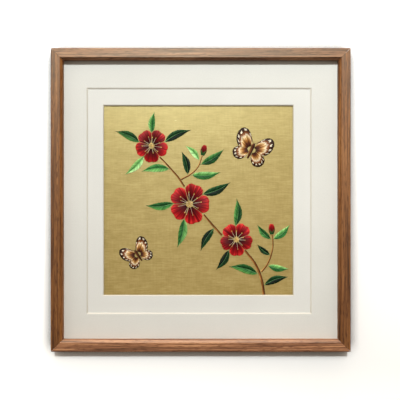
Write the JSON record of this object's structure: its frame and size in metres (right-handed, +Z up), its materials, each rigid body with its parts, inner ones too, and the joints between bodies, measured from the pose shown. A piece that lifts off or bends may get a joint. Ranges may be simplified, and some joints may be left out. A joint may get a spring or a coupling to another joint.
{
  "type": "framed embroidered silk panel",
  "caption": "Hand embroidered gold silk panel under a cream double mat in a narrow square wooden frame, hung on a wall.",
  "frame": {"origin": "the nail point on the wall, under the hanger's middle notch, 10 mm below the frame's top edge", "axes": "+Z up, +X to the viewer's right, -Y out of the wall towards the viewer; the wall is at Y = 0"},
  "size_m": [0.466, 0.0354, 0.472],
  "materials": {
    "walnut": "satin lacquer",
    "outer_mat": "matte",
    "inner_mat": "matte",
    "spacer": "matte",
    "gold_silk": "silk sheen",
    "backing": "matte",
    "steel": "zinc plated",
    "felt": "matte",
    "deep": "silk thread sheen",
    "mid": "silk thread sheen",
    "fresh": "silk thread sheen",
    "pale": "silk thread sheen",
    "bark": "silk thread sheen",
    "red": "silk thread sheen",
    "ochre": "silk thread sheen",
    "wing_brown": "silk thread sheen",
    "body_brown": "silk thread sheen"
  },
  "bodies": {
    "root": {"rail_top": "walnut", "rail_left": "walnut", "rail_bottom": "walnut", "rail_right": "walnut", "mat_outer": "outer_mat", "mat_inner": "inner_mat", "mat_spacer": "spacer", "silk_panel": "gold_silk", "backing_board": "backing", "point_top": "steel", "point_bottom": "steel", "point_left_high": "steel", "point_left_low": "steel", "point_right_high": "steel", "point_right_low": "steel", "bumper_left": "felt", "bumper_right": "felt", "sawtooth_hanger": "steel", "stem_foot": "bark", "stem_middle": "bark", "stem_top": "bark", "twig_right": "bark", "twig_upper": "bark", "leaf_01": "deep", "leaf_02": "mid", "leaf_03": "fresh", "leaf_04": "deep", "leaf_05": "fresh", "leaf_06": "mid", "leaf_07": "deep", "leaf_08": "mid", "leaf_09": "fresh", "leaf_10": "deep", "leaf_11": "mid", "leaf_12": "fresh", "leaf_13": "deep", "leaf_14": "mid", "leaf_15": "deep", "leaf_16": "pale", "leaf_17": "fresh", "leaf_18": "deep", "leaf_19": "fresh", "leaf_20": "mid", "leaf_21": "pale", "blossom_low": "red", "stamens_low": "ochre", "blossom_middle": "red", "stamens_middle": "ochre", "blossom_top": "red", "stamens_top": "ochre", "bud_right": "red", "bud_upper": "red", "butterfly_large_left_wings": "wing_brown", "butterfly_large_right_wings": "wing_brown", "butterfly_large_body": "body_brown", "butterfly_small_left_wings": "wing_brown", "butterfly_small_right_wings": "wing_brown", "butterfly_small_body": "body_brown"}
  },
  "joints": []
}
